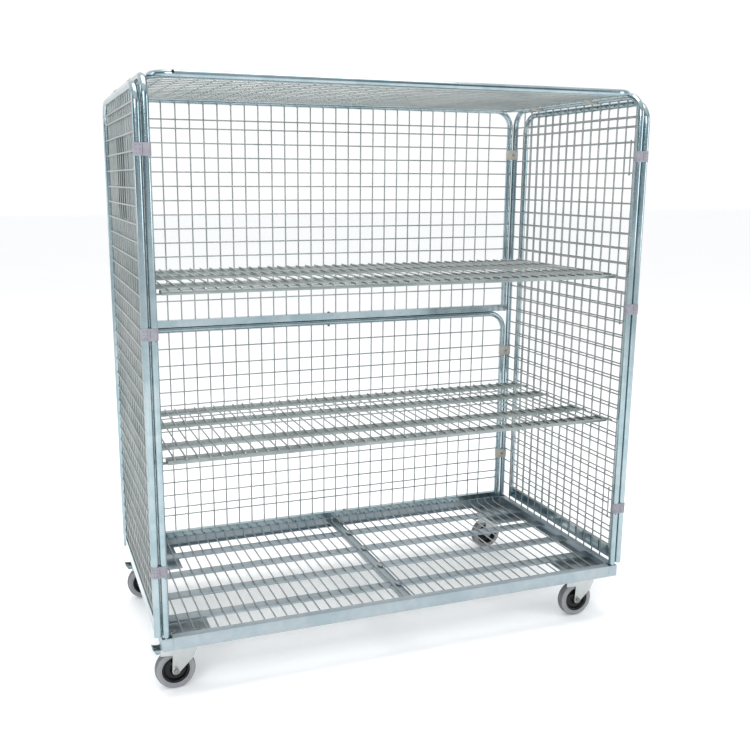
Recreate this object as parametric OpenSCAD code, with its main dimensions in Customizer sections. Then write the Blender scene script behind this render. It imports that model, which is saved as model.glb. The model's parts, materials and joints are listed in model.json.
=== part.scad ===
// Roll cage container: a wheeled steel base with two tube hoops, meshed sides, a two-part
// meshed rear wall, a meshed roof, two fold-back mesh doors and two lift-out shelves.
// Millimetres. X runs along the length, Y from the doors (-Y) to the rear wall (+Y), Z is up.
// The origin is on the floor under the middle of the cage.

/* [Cage] */
// Distance between the post axes along the length
post_span_x = 1585; // [1000:5:2000]
// Distance between the post axes from front to rear
post_span_y = 790; // [700:5:1000]
// Height of the top of the hoops above the base
hoop_h = 1625; // [1300:5:2000]
// Outside diameter of every frame tube
tube_d = 22; // [18:0.5:28]
// Wall of every frame tube
tube_wall = 1.5; // [1:0.1:2.5]
// Centre-line radius of the bends in the hoops, doors and panels
bend_r = 66; // [40:1:90]

/* [Mesh] */
// Diameter of the mesh, deck and shelf wires
wire_d = 5; // [3:0.5:6.5]
// Spacing of the mesh wires
mesh_pitch = 50; // [40:1:80]
// Drop from the hoop tube's axis to the first mesh row
first_row_drop = 65; // [40:1:90]
// Drop from the first mesh row to the second, where the even pitch starts
second_row_drop = 30.5; // [20:0.5:50]
// Set-back of the first upright side wire from the front post's axis
side_wire_start = 76; // [50:1:90]
// Least distance from the last upright side wire to the rear post
side_wire_end = 40; // [20:1:60]
// Least height of the lowest mesh row above the base
lowest_row_gap = 55; // [40:1:90]

/* [Base] */
// Height of the base rails
rail_h = 40; // [36:1:60]
// Depth of the base rails' flanges
rail_depth = 27; // [26:0.5:34]
// Wall of the base rails
rail_t = 3; // [2:0.5:4]
// Side of the square corner sockets
socket_side = 34; // [34:0.5:46]
// Wall of the corner sockets
socket_wall = 2.7; // [2:0.1:5]
// Number of slats under the deck wires
slat_count = 4; // [2:1:5]
// Spacing of the deck slats
slat_pitch = 165; // [120:5:200]
// Width of the deck slats and of the centre channel
slat_w = 40; // [30:1:50]
// Height of the slats' tops above the rails' lower flanges
slat_rise = 22; // [12:1:26]
// Height of the deck slats and of the centre channel
slat_h = 8; // [6:0.5:12]
// Sheet of the deck and shelf slats
slat_t = 2; // [1.5:0.1:3]
// Offset of the centre channel from the middle
centre_channel_x = 10; // [-20:1:20]
// Spacing of the deck wires
deck_pitch = 36.8; // [30:0.2:50]
// Least distance from the end rails' flanges to the first deck wire
deck_end_gap = 30; // [10:1:40]
// Length of a castor mounting plate, along X
mount_plate_x = 139.5; // [120:0.5:170]
// Width of a castor mounting plate, along Y
mount_plate_y = 202; // [120:1:220]

/* [Rear wall] */
// Gap between a hoop post and the panel tube beside it
panel_gap = 5; // [2:0.5:8]
// Height of the lower rear panel
lower_panel_h = 812; // [600:1:900]
// Height of the upper panel's sill bar
upper_sill_h = 26; // [20:1:32]
// Height of the lower panel's foot bar
foot_bar_h = 22; // [16:1:30]
// Thickness of the sill and foot bars
sill_depth = 20; // [16:0.5:22]
// Least distance from a panel's side tube to its first upright wire
rear_wire_end = 70; // [40:1:90]
// Least height of the upper panel's even rows above its sill
upper_row_gap = 100; // [60:1:120]
// Least drop from the lower panel's top tube to its even rows
lower_row_drop = 120; // [90:1:150]
// Drop from the lower panel's top tube to its first row
lower_first_drop = 70; // [50:1:80]
// Least height of the lower panel's even rows above the base
lower_row_gap = 90; // [70:1:110]
// How much lower the lower panel's rows lie than the side rows
lower_row_shift = 1; // [0:0.5:3]

/* [Roof] */
// Rise of the roof tube's axis above the hoop tube's axis
roof_rise = 4; // [0:0.5:8]
// Gap between a hoop's top tube and the roof tube beside it
roof_gap = 4.5; // [2:0.5:8]
// Gap between the rear roof tube and the rear wall's top tube
roof_rear_gap = 2; // [1:0.5:20]
// Least distance from the roof's end tubes to the first wire
roof_wire_end = 20; // [10:1:40]
// Least distance from the rear roof tube to the last wire along the length
roof_rear_wire_end = 15; // [10:1:40]

/* [Doors] */
// Gap between the two doors when they are shut
door_meet_gap = 15; // [4:1:30]
// Gap between a shut door's top tube and the front roof tube
door_head_gap = 3; // [2:0.5:20]
// Height of the door's lower edge above the base
door_foot_gap = 7; // [4:0.5:20]
// Height of the door's flat sill
door_sill_h = 43; // [25:1:60]
// Thickness of the door's flat sill
door_sill_t = 12; // [8:0.5:16]
// Least distance from a door's side tubes to its first upright wire
door_wire_end = 20; // [10:1:40]
// Gap between the post and the door tube in a hinge clip
hinge_gap = 2; // [1:0.5:10]
// Height of a hinge clip
clip_h = 35; // [20:1:36]
// Wall of the clips round the tubes
clip_wall = 1.4; // [1:0.1:2.5]
// Running clearance of a tube in a hinge clip, on the radius
clip_fit = 0.08; // [0.05:0.01:0.1]

/* [Shelves] */
// Mesh row that carries the upper shelf
upper_shelf_row = 10; // [6:1:12]
// Mesh row that carries the lower shelf
lower_shelf_row = 20; // [14:1:22]
// Height of the shelf slats
shelf_slat_h = 13; // [8:0.5:20]
// Gap between a shelf's slat ends and the side posts' plane
shelf_end_gap = 30.5; // [16:0.5:40]
// Set-in of the rear shelf slat from the rear posts
shelf_rear_inset = 155; // [100:1:200]
// Set-in of the front shelf slat from the front posts
shelf_front_inset = 60; // [50:1:100]
// Least distance from the slat ends to the first shelf wire
shelf_wire_end = 14; // [8:1:30]
// Spacing of the shelf wires
shelf_pitch = 35.3; // [30:0.1:50]

/* [Document plate] */
// Length of the document plate, along Y
doc_y = 195; // [100:1:250]
// Height of the document plate
doc_z = 245; // [100:1:300]
// Thickness of the document plate
doc_t = 1.5; // [1:0.1:3]
// Drop from the hoop tube's axis to the document plate
doc_drop = 144; // [100:1:200]
// Shift of the document plate's middle towards the rear
doc_shift_y = 25; // [-50:1:50]

/* [Castors] */
// Tyre diameter
wheel_d = 125; // [100:1:126]
// Tyre width
wheel_w = 32; // [26:1:36]
// Trail from the kingpin's axis back to the axle
trail = 38; // [30:1:45]
// Height of a castor above its wheel
castor_rise = 35; // [34:1:60]
// Set-in of the kingpins from the posts, along X
kingpin_inset_x = 70.5; // [70:0.5:100]
// Set-in of the kingpins from the posts, along Y
kingpin_inset_y = 60; // [56:0.5:90]
// Diameter of the axle bolts
axle_d = 12; // [8:0.5:14]
// Diameter of the kingpins
kingpin_d = 12; // [8:0.5:14]
// Running clearance round the axle bolts, kingpins and pedal pins, on the radius
pin_fit = 0.05; // [0.02:0.01:0.1]
// Sheet of the castor forks
fork_t = 3; // [2:0.5:4]
// Drop from the top plate to the fork's hood
hood_drop = 11; // [10:0.5:14]
// Drop from the hood to the pedal's pin
pedal_drop = 13; // [11:0.5:15]
// Reach of the pedal's pin beyond the axle
pedal_reach = 38; // [34:1:42]

/* [Hidden] */
$fn = 48;
// Clearance between neighbouring pieces that don't touch
gap = 0.3;
// Clearance of a pin or rim pressed into its seat, on the radius
seat_fit = 0.05;
tube_r = tube_d / 2;
bend_in_r = bend_r - tube_r;
post_x = post_span_x / 2;
post_y = post_span_y / 2;
wheel_r = wheel_d / 2;
rail_z0 = wheel_d + castor_rise;
base_top_z = rail_z0 + rail_h;
hoop_z = base_top_z + hoop_h - tube_r;

// Mesh rows, counted down from the first row of the even pitch
row_z0 = hoop_z - first_row_drop - second_row_drop;
lowest_row_z = base_top_z + lowest_row_gap;
row_count = floor((row_z0 - lowest_row_z) / mesh_pitch) + 1;
function row_z(i) = row_z0 - i * mesh_pitch;
mesh_rows = [for (i = [0 : row_count - 1]) row_z(i)];
first_row_z = hoop_z - first_row_drop;
// Crossing wires lie half a wire and half a clearance to either side of the mesh plane
layer = (wire_d + gap) / 2;

// Upright side wires
side_wire_y0 = -post_y + side_wire_start;
side_wire_count = floor((post_y - tube_r - side_wire_end - side_wire_y0) / mesh_pitch) + 1;
side_wire_ys = [for (i = [0 : side_wire_count - 1]) side_wire_y0 + i * mesh_pitch];

// Front hinge clips sit over these rows, whose wires stop short at a tie wire
clip_rows = [2, floor(row_count * 2 / 5), row_count - 4];
clip_shifts = [2.5, 0.5, -6];
clip_zs = [for (i = [0 : 2]) row_z(clip_rows[i]) + clip_shifts[i]];
hinge_reach = tube_d + hinge_gap;
tie_set_back = 2 * hinge_reach - 3;
clip_r = tube_r + clip_fit + clip_wall;
clip_waist = 0.6;

// Base
socket_reach = tube_r + gap + socket_wall;
rail_out_x = post_x + socket_reach;
rail_out_y = post_y + socket_reach;
rail_in_x = rail_out_x - rail_depth;
rail_in_y = rail_out_y - rail_depth;
// How far a socket's inner corner reaches past the rails' flanges
socket_lap = max(0, socket_side - rail_depth) + gap;
ledge_z = rail_z0 + rail_t;
slat_z1 = ledge_z + slat_rise;
slat_z0 = slat_z1 - slat_h;
slat_ys = [for (i = [0 : slat_count - 1]) (i - (slat_count - 1) / 2) * slat_pitch];
channel_half = slat_w / 2;
deck_half = rail_in_x - deck_end_gap;
deck_count = floor(deck_half / deck_pitch);

// Rear wall
panel_x = post_x - tube_d - panel_gap;
panel_split_z = base_top_z + lower_panel_h;
lower_top_z = panel_split_z - tube_r;
upper_foot_z = panel_split_z + gap;
panel_inner_x = panel_x - tube_r;
rear_wire_count = floor((panel_inner_x - rear_wire_end) / mesh_pitch + 0.5);
rear_wire_xs = [for (i = [-rear_wire_count : rear_wire_count - 1]) (i + 0.5) * mesh_pitch];
upper_rows = [for (z = mesh_rows) if (z > upper_foot_z + upper_sill_h + upper_row_gap) z];
upper_last_z = upper_rows[len(upper_rows) - 1] - second_row_drop * 2;
lower_rows = [for (z = mesh_rows)
    if (z < lower_top_z - lower_row_drop && z > base_top_z + lower_row_gap) z - lower_row_shift];
lower_first_z = lower_top_z - lower_first_drop;
lower_last_z = lower_rows[len(lower_rows) - 1] - second_row_drop;
clip_screw_d = 3.5;
panel_bolt_d = 6;
joint_bolt_x = -5;
foot_bolt_x = 62;
// The rear clips lie midway between two rows: near the top, below the lower panel's first even
// row, and near the foot
rear_clip_zs = [row_z(1) - mesh_pitch / 2, lower_rows[0] + lower_row_shift - mesh_pitch / 2,
    row_z(row_count - 4) - mesh_pitch / 2];

// Roof
roof_x = post_x - tube_d - roof_gap;
roof_z = hoop_z + roof_rise;
roof_rear_y = post_y - tube_d - roof_rear_gap;
roof_span_y = post_y + roof_rear_y;
roof_mid_y = (roof_rear_y - post_y) / 2;
roof_wire_count = floor((roof_x - tube_r - roof_wire_end) / mesh_pitch + 0.5);
roof_wire_xs = [for (i = [-roof_wire_count : roof_wire_count - 1]) (i + 0.5) * mesh_pitch];
roof_wire_ys = [for (y = side_wire_ys) if (y < roof_rear_y - tube_r - roof_rear_wire_end) y];
roof_clip_ys = [side_wire_ys[3] + mesh_pitch / 2, side_wire_ys[10] + mesh_pitch / 2];
roof_tilt = atan2(roof_rise, tube_d + roof_gap);
roof_reach = norm([tube_d + roof_gap, roof_rise]);

// Doors, folded back outside the cage
door_x = post_x + hinge_reach;
door_w = post_x - hinge_reach - tube_r - door_meet_gap / 2;
door_top_z = roof_z - tube_d - door_head_gap;
door_foot_z = base_top_z + door_foot_gap;
door_mid_y = -post_y + door_w / 2;
door_wire_count = floor((door_w / 2 - tube_r - door_wire_end) / mesh_pitch + 0.5);
door_wire_ys = [for (i = [-door_wire_count : door_wire_count - 1]) door_mid_y + (i + 0.5) * mesh_pitch];

// Shelves
shelf_slat_x = post_x - shelf_end_gap;
// The slats lie at these shares of the way from the rear slat to the front one
shelf_slat_shares = [0, 0.294, 0.729, 1];
shelf_back_y = post_y - shelf_rear_inset;
shelf_fore_y = -post_y + shelf_front_inset;
shelf_slat_ys = [for (s = shelf_slat_shares) shelf_back_y + s * (shelf_fore_y - shelf_back_y)];
shelf_front_y = shelf_fore_y - slat_w / 2 - wire_d;
shelf_rear_y = shelf_back_y + slat_w / 2;
shelf_end_x = post_x - layer + wire_d / 2;
shelf_wires = floor((shelf_slat_x - shelf_wire_end) / shelf_pitch);
tongue_t = 3;
tongue_w = 24;

// Castors
castor_x = post_x - kingpin_inset_x;
castor_y = post_y - kingpin_inset_y;
top_plate_t = 4;
top_plate_x = 104;
top_plate_y = 85;
bolt_span_x = 80;
bolt_span_y = 60;
bolt_d = 10;
plate_z = rail_z0 - top_plate_t;
hood_z = plate_z - hood_drop;
tyre_wall = 19;
hub_r = 15;
hub_w = wheel_w + 4;
leg_in = hub_w / 2 + 1;
leg_out = leg_in + fork_t;
race_r = 32;
pedal_pin_x = -trail - pedal_reach;
pedal_pin_z = hood_z - pedal_drop;
pedal_pin_r = 3;

// Document plate
doc_top_z = hoop_z - doc_drop;

zinc = [0.72, 0.79, 0.82];
dull_wire = [0.55, 0.57, 0.57];

// ---- Shared shapes ----

// A square ring section of the frame tube, at distance r from the turning axis
module tube_section() {
    difference() {
        circle(r = tube_r);
        circle(r = tube_r - tube_wall);
    }
}

// A straight tube along Z from z0 to z1
module tube_z(x, y, z0, z1) {
    translate([x, y, z0])
        linear_extrude(z1 - z0)
            tube_section();
}

// A quarter bend in the XZ plane, from the +X direction to the +Z direction
module tube_bend(r) {
    rotate([90, 0, 0])
        rotate_extrude(angle = 90, $fn = 96)
            translate([r, 0])
                tube_section();
}

// An upturned U of tube in the XZ plane: legs at x = +-half, top tube's axis at z1
module tube_arch(half, z0, z1, r) {
    for (side = [-1, 1])
        tube_z(side * half, 0, z0, z1 - r);
    translate([half - r, 0, z1 - r])
        tube_bend(r);
    translate([-half + r, 0, z1 - r])
        mirror([1, 0, 0])
            tube_bend(r);
    translate([-half + r, 0, z1])
        rotate([0, 90, 0])
            linear_extrude(2 * (half - r))
                tube_section();
}

// Straight wires along each axis
module wire_x(x0, x1, y, z) {
    translate([x0, y, z])
        rotate([0, 90, 0])
            cylinder(d = wire_d, h = x1 - x0, $fn = 24);
}

module wire_y(y0, y1, x, z) {
    translate([x, y0, z])
        rotate([-90, 0, 0])
            cylinder(d = wire_d, h = y1 - y0, $fn = 24);
}

module wire_z(z0, z1, x, y) {
    translate([x, y, z0])
        cylinder(d = wire_d, h = z1 - z0, $fn = 24);
}

// A clip round two parallel tubes along Z: one at the origin, one at x = reach
module tube_clip(reach, h, fit) {
    ring_r = tube_r + fit + clip_wall;
    difference() {
        union() {
            cylinder(r = ring_r, h = h);
            translate([reach, 0, 0])
                cylinder(r = ring_r, h = h);
            translate([0, -ring_r + clip_waist, 0])
                cube([reach, 2 * (ring_r - clip_waist), h]);
        }
        for (x = [0, reach])
            translate([x, 0, -1])
                cylinder(r = tube_r + fit, h = h + 2);
    }
}

// Mirrored to the left or the right of the cage
module on_side(side) {
    mirror([side < 0 ? 1 : 0, 0, 0])
        children();
}

// ---- Base ----

// A channel along X, its web at y = 0 and its flanges reaching towards +Y
module rail(length) {
    translate([-length / 2, 0, rail_z0])
        difference() {
            cube([length, rail_depth, rail_h]);
            translate([-1, rail_t, rail_t])
                cube([length + 2, rail_depth, rail_h - 2 * rail_t]);
        }
}

module front_rail() {
    color(zinc)
        translate([0, -rail_out_y, 0])
            rail(2 * (rail_out_x - socket_side));
}

module rear_rail() {
    color(zinc)
        difference() {
            mirror([0, 1, 0])
                translate([0, -rail_out_y, 0])
                    rail(2 * (rail_out_x - socket_side));
            panel_bolt_hole(foot_bolt_x, base_top_z - rail_t, rail_t);
        }
}

module end_rail(side) {
    on_side(side)
        rotate([0, 0, 90])
            translate([0, -rail_out_x, 0])
                rail(2 * (rail_out_y - socket_side));
}

module left_end_rail() {
    color(zinc)
        end_rail(-1);
}

module right_end_rail() {
    color(zinc)
        end_rail(1);
}

// Square sockets that the hoop posts stand in, closed at the bottom
module corner_sockets() {
    color(zinc)
        for (sx = [-1, 1], sy = [-1, 1])
            translate([sx * (rail_out_x - socket_side / 2), sy * (rail_out_y - socket_side / 2), rail_z0])
                difference() {
                    translate([-socket_side / 2, -socket_side / 2, 0])
                        cube([socket_side, socket_side, rail_h]);
                    translate([-socket_side / 2 + socket_wall, -socket_side / 2 + socket_wall, rail_t])
                        cube([socket_side - 2 * socket_wall, socket_side - 2 * socket_wall, rail_h]);
                }
}

// Open trough from the front rail to the rear rail
module centre_channel() {
    reach = rail_out_y - rail_t;
    color(zinc)
        translate([centre_channel_x - channel_half, -reach, slat_z0])
            difference() {
                cube([slat_w, 2 * reach, slat_h]);
                translate([slat_t, -1, slat_t])
                    cube([slat_w - 2 * slat_t, 2 * reach + 2, slat_h]);
            }
}

// One slat along X from x0 to x1: an upturned channel standing on z0
module slat(x0, x1, y, z0, h) {
    translate([x0, y - slat_w / 2, z0])
        difference() {
            cube([x1 - x0, slat_w, h]);
            translate([-1, slat_t, -slat_t])
                cube([x1 - x0 + 2, slat_w - 2 * slat_t, h]);
        }
}

module deck_slats() {
    end_x = rail_out_x - rail_t;
    color(zinc)
        for (y = slat_ys) {
            slat(-end_x, centre_channel_x - channel_half, y, slat_z0, slat_h);
            slat(centre_channel_x + channel_half, end_x, y, slat_z0, slat_h);
        }
}

module deck_wires() {
    z = slat_z1 + wire_d / 2;
    reach = rail_out_y - rail_t - gap;
    color(dull_wire)
        for (i = [-deck_count : deck_count])
            wire_y(-reach, reach, i * deck_pitch, z);
}

module castor_mounting_plates() {
    color(zinc)
        for (sx = [-1, 1], sy = [-1, 1])
            translate([sx * (rail_in_x - mount_plate_x / 2), sy * (rail_in_y - mount_plate_y / 2), rail_z0])
                difference() {
                    translate([-mount_plate_x / 2, -mount_plate_y / 2, 0])
                        cube([mount_plate_x, mount_plate_y, rail_t]);
                    translate([sx * (castor_x - rail_in_x + mount_plate_x / 2),
                            sy * (castor_y - rail_in_y + mount_plate_y / 2), 0])
                        bolt_holes();
                    translate([sx * (mount_plate_x / 2), sy * (mount_plate_y / 2), 0])
                        cube([2 * socket_lap, 2 * socket_lap, 3 * rail_t], center = true);
                }
}

// ---- Hoops and side mesh ----

module hoop() {
    rotate([0, 0, 90])
        tube_arch(post_y, ledge_z, hoop_z, bend_r);
}

module left_hoop() {
    color(zinc)
        translate([-post_x, 0, 0])
            hoop();
}

module right_hoop() {
    color(zinc)
        translate([post_x, 0, 0])
            hoop();
}

// Mesh of one side, its rows inside and its uprights outside the plane of the posts
module side_mesh(side) {
    front = -post_y + tube_r + gap;
    rear = post_y - tube_r - gap;
    tie_y = -post_y + tie_set_back;
    on_side(side) {
        for (z = concat([first_row_z], mesh_rows)) {
            cut = edge_cut(z, hoop_z);
            wire_y(is_clip_row(z) ? tie_y : front + cut, rear - cut, post_x - layer, z);
        }
        for (y = side_wire_ys)
            wire_z(base_top_z, hoop_z - tube_r - gap - edge_cut(y, post_y), post_x + layer, y);
        for (r = clip_rows)
            wire_z(row_z(r + 1) - wire_d, row_z(r - 1) + wire_d, post_x + layer, tie_y);
    }
}

// How much a wire is shortened where it ends this far past the start of a frame's bend
function bend_cut(past) = past <= 0 ? 0 : bend_in_r - sqrt(max(0, bend_in_r ^ 2 - past ^ 2));

// The same for a wire at place p, whose far side counts, where the frame's tube axis is at edge
function edge_cut(p, edge) = bend_cut(abs(p) + wire_d / 2 - (edge - bend_r));

function is_clip_row(z) = len([for (r = clip_rows) if (abs(z - row_z(r)) < 1) r]) > 0;

module left_side_mesh() {
    color(dull_wire)
        side_mesh(-1);
}

module right_side_mesh() {
    color(dull_wire)
        side_mesh(1);
}

// ---- Rear wall ----

// A flat bar along X between the panel's side tubes, with the tubes standing on it
module panel_bar(z0, h) {
    translate([-panel_x - tube_r, post_y - sill_depth / 2, z0])
        cube([2 * (panel_x + tube_r), sill_depth, h]);
}

module rear_upper_frame() {
    color(zinc) {
        translate([0, post_y, 0])
            tube_arch(panel_x, upper_foot_z + upper_sill_h, hoop_z, bend_r);
        difference() {
            panel_bar(upper_foot_z, upper_sill_h);
            panel_bolt_hole(joint_bolt_x, upper_foot_z, upper_sill_h);
        }
    }
}

module rear_lower_frame() {
    color(zinc) {
        difference() {
            translate([0, post_y, 0])
                tube_arch(panel_x, base_top_z + foot_bar_h, lower_top_z, bend_r);
            panel_bolt_hole(joint_bolt_x, lower_top_z - tube_r, tube_d);
        }
        difference() {
            panel_bar(base_top_z, foot_bar_h);
            panel_bolt_hole(foot_bolt_x, base_top_z, foot_bar_h);
        }
    }
}

// Clearance hole of a panel bolt, through a bar from z0 upward
module panel_bolt_hole(x, z0, h) {
    translate([x, post_y, z0 - 1])
        cylinder(d = panel_bolt_d + 2 * gap, h = h + 2);
}

// Mesh of one rear panel, between its bar at z0 and its top tube's axis at top
module panel_mesh(rows, z0, top) {
    for (z = rows) {
        side = panel_inner_x - gap - edge_cut(z, top);
        wire_x(-side, side, post_y - layer, z);
    }
    for (x = rear_wire_xs)
        wire_z(z0 + gap, top - tube_r - gap - edge_cut(x, panel_x), x, post_y + layer);
}

module rear_upper_mesh() {
    color(dull_wire)
        panel_mesh(concat([first_row_z], upper_rows, [upper_last_z]), upper_foot_z + upper_sill_h, hoop_z);
}

module rear_lower_mesh() {
    color(dull_wire)
        panel_mesh(concat([lower_first_z], lower_rows, [lower_last_z]), base_top_z + foot_bar_h, lower_top_z);
}

// Clips that hold the rear panels' tubes to the rear posts
module rear_clips() {
    color([0.80, 0.77, 0.70])
        for (side = [-1, 1], z = rear_clip_zs)
            on_side(side)
                translate([panel_x, post_y, z - clip_h / 2])
                    difference() {
                        tube_clip(post_x - panel_x, clip_h, clip_fit);
                        translate([(post_x - panel_x) / 2, 0, clip_h / 2])
                            rotate([90, 0, 0])
                                cylinder(d = clip_screw_d + 2 * gap, h = 4 * tube_r, center = true);
                    }
}

module rear_clip_screws() {
    face = clip_r - clip_waist;
    color(dull_wire)
        for (side = [-1, 1], z = rear_clip_zs)
            on_side(side)
                translate([(panel_x + post_x) / 2, post_y - face, z])
                    rotate([-90, 0, 0]) {
                        cylinder(d = clip_screw_d, h = 2 * face - 1);
                        translate([0, 0, -2.5])
                            cylinder(d = 9, h = 2.5);
                    }
}

// Bolts that join the two rear panels, and the lower panel to the base
module panel_bolts() {
    color(dull_wire) {
        panel_bolt(joint_bolt_x, panel_split_z - tube_d, upper_foot_z + upper_sill_h);
        panel_bolt(foot_bolt_x, base_top_z - rail_t, base_top_z + foot_bar_h);
    }
}

// A bolt on the rear wall's plane: hex head at z1, shank and nut under z0
module panel_bolt(x, z0, z1) {
    translate([x, post_y, z1])
        cylinder(d = panel_bolt_d * 1.8, h = 4, $fn = 6);
    translate([x, post_y, z0 - 6])
        cylinder(d = panel_bolt_d, h = z1 - z0 + 7);
    translate([x, post_y, z0 - 5])
        cylinder(d = panel_bolt_d * 1.8, h = 5, $fn = 6);
}

// ---- Roof ----

module roof_frame() {
    color(zinc)
        translate([0, roof_mid_y, roof_z])
            for (end = [-1, 1])
                mirror([0, end < 0 ? 1 : 0, 0])
                    rotate([-90, 0, 0])
                        tube_arch(roof_x, 0, roof_span_y / 2, bend_r);
}

module roof_mesh() {
    color(dull_wire) {
        for (y = roof_wire_ys) {
            side = roof_x - tube_r - gap - edge_cut(y - roof_mid_y, roof_span_y / 2);
            wire_x(-side, side, y, roof_z - layer);
        }
        for (x = roof_wire_xs) {
            reach = roof_span_y / 2 - tube_r - gap - edge_cut(x, roof_x);
            wire_y(roof_mid_y - reach, roof_mid_y + reach, x, roof_z + layer);
        }
    }
}

module roof_clips() {
    color([0.80, 0.77, 0.70])
        for (side = [-1, 1], y = roof_clip_ys)
            on_side(side)
                translate([roof_x, y - clip_h / 2, roof_z])
                    rotate([-90, 0, 0])
                        rotate([0, 0, roof_tilt])
                            tube_clip(roof_reach, clip_h, clip_fit);
}

// ---- Document plate ----

module document_plate() {
    color([0.16, 0.19, 0.22])
        translate([-post_x - layer - wire_d / 2 - gap - doc_t, doc_shift_y - doc_y / 2, doc_top_z - doc_z])
            cube([doc_t, doc_y, doc_z]);
}

// ---- Doors ----

module hinge_clips(side) {
    on_side(side)
        for (z = clip_zs)
            translate([post_x, -post_y, z - clip_h / 2])
                tube_clip(hinge_reach, clip_h, clip_fit);
}

module left_hinge_clips() {
    color([0.78, 0.76, 0.82])
        hinge_clips(-1);
}

module right_hinge_clips() {
    color([0.78, 0.76, 0.82])
        hinge_clips(1);
}

module door_frame(side) {
    on_side(side)
        translate([door_x, door_mid_y, 0]) {
            rotate([0, 0, 90])
                tube_arch(door_w / 2, door_foot_z, door_top_z, bend_r);
            translate([-door_sill_t / 2, -door_w / 2 + tube_r - 1, door_foot_z])
                cube([door_sill_t, door_w - tube_d + 2, door_sill_h]);
        }
}

module left_door_frame() {
    color(zinc)
        door_frame(-1);
}

module right_door_frame() {
    color(zinc)
        door_frame(1);
}

module door_mesh(side) {
    half = door_w / 2;
    reach = half - tube_r - gap;
    on_side(side) {
        for (z = concat([first_row_z], mesh_rows))
            if (z > door_foot_z + door_sill_h + wire_d) {
                cut = edge_cut(z, door_top_z);
                start = is_clip_row(z) ? door_wire_ys[0] - wire_d : door_mid_y - reach + cut;
                wire_y(start, door_mid_y + reach - cut, door_x + layer, z);
            }
        for (y = door_wire_ys)
            wire_z(door_foot_z + door_sill_h + gap,
                door_top_z - tube_r - gap - edge_cut(y - door_mid_y, half), door_x - layer, y);
    }
}

module left_door_mesh() {
    color(dull_wire)
        door_mesh(-1);
}

module right_door_mesh() {
    color(dull_wire)
        door_mesh(1);
}

// ---- Shelves ----

// Slats along X, with a tongue at each end that rests on a side mesh row
module shelf_slats(row) {
    z0 = row_z(row) + wire_d / 2 + gap;
    for (y = shelf_slat_ys) {
        slat(-shelf_slat_x, shelf_slat_x, y, z0, shelf_slat_h);
        for (side = [-1, 1])
            on_side(side)
                translate([shelf_slat_x - 2 * tongue_w, y - tongue_w / 2, z0 + tongue_t])
                    tongue();
    }
}

// A tongue under a slat's top, cranked down to the mesh row
module tongue() {
    length = shelf_end_x - shelf_slat_x + 2 * tongue_w;
    translate([0, 0, -tongue_t])
        cube([length, tongue_w, tongue_t]);
    cube([tongue_t, tongue_w, shelf_slat_h - slat_t - tongue_t]);
}

module shelf_wires(row) {
    top = row_z(row) + wire_d / 2 + gap + shelf_slat_h;
    for (i = [-shelf_wires : shelf_wires])
        wire_y(shelf_front_y, shelf_rear_y, i * shelf_pitch, top + wire_d / 2);
    wire_x(-shelf_slat_x, shelf_slat_x, shelf_front_y + wire_d / 2, top - wire_d / 2 - gap);
}

module upper_shelf_slats() {
    color(zinc)
        shelf_slats(upper_shelf_row);
}

module upper_shelf_wires() {
    color(dull_wire)
        shelf_wires(upper_shelf_row);
}

module lower_shelf_slats() {
    color(zinc)
        shelf_slats(lower_shelf_row);
}

module lower_shelf_wires() {
    color(dull_wire)
        shelf_wires(lower_shelf_row);
}

// ---- Castors ----

// Placed at the kingpin of the castor on side sx, sy
module at_castor(sx, sy) {
    translate([sx * castor_x, sy * castor_y, 0])
        children();
}

module at_bolts() {
    for (bx = [-1, 1], by = [-1, 1])
        translate([bx * bolt_span_x / 2, by * bolt_span_y / 2, 0])
            children();
}

// Bolt holes, cut through plates near the height of the call
module bolt_holes() {
    at_bolts()
        translate([0, 0, -20])
            cylinder(d = bolt_d + 1, h = 40);
}

module castor_top_plates() {
    color([0.80, 0.82, 0.83])
        for (sx = [-1, 1], sy = [-1, 1])
            at_castor(sx, sy)
                difference() {
                    union() {
                        translate([-top_plate_x / 2, -top_plate_y / 2, plate_z])
                            cube([top_plate_x, top_plate_y, top_plate_t]);
                        translate([0, 0, plate_z - 5])
                            cylinder(r1 = race_r - 4, r2 = race_r, h = 5);
                    }
                    translate([0, 0, plate_z])
                        bolt_holes();
                    translate([0, 0, plate_z - 10])
                        cylinder(r = kingpin_d / 2 + seat_fit, h = 20);
                }
}

module castor_plate_bolts() {
    color(dull_wire)
        for (sx = [-1, 1], sy = [-1, 1])
            at_castor(sx, sy)
                at_bolts() {
                    translate([0, 0, plate_z - 7])
                        cylinder(d = 17 / cos(30), h = 7, $fn = 6);
                    translate([0, 0, plate_z - 7])
                        cylinder(d = bolt_d, h = top_plate_t + rail_t + 7);
                    translate([0, 0, ledge_z])
                        cylinder(r = 10, h = 4);
                }
}

// Kingpins riveted into the top plates, with a head under the fork
module kingpins() {
    color(dull_wire)
        for (sx = [-1, 1], sy = [-1, 1])
            at_castor(sx, sy) {
                translate([0, 0, hood_z - 3 - gap])
                    cylinder(d = kingpin_d, h = rail_z0 - hood_z + 3 + gap);
                translate([0, 0, hood_z - fork_t - 6 - gap])
                    cylinder(d = kingpin_d + 8, h = 6);
            }
}

// One side plate of the fork, seen along Y: hood above, leg down to the axle
module fork_side() {
    leg_w = 10;
    translate([-trail, wheel_r])
        circle(r = leg_w + 2);
    polygon([
        [-trail - leg_w - 2, wheel_r], [-trail - leg_w + 1, hood_z - 29], [pedal_pin_x - 8, hood_z - 27],
        [pedal_pin_x - 8, hood_z - 7], [pedal_pin_x + 6, hood_z - 2], [-30, hood_z], [27, hood_z],
        [27, hood_z - 18], [15, hood_z - 46], [-trail + leg_w - 1, wheel_r - 7]
    ]);
}

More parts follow.
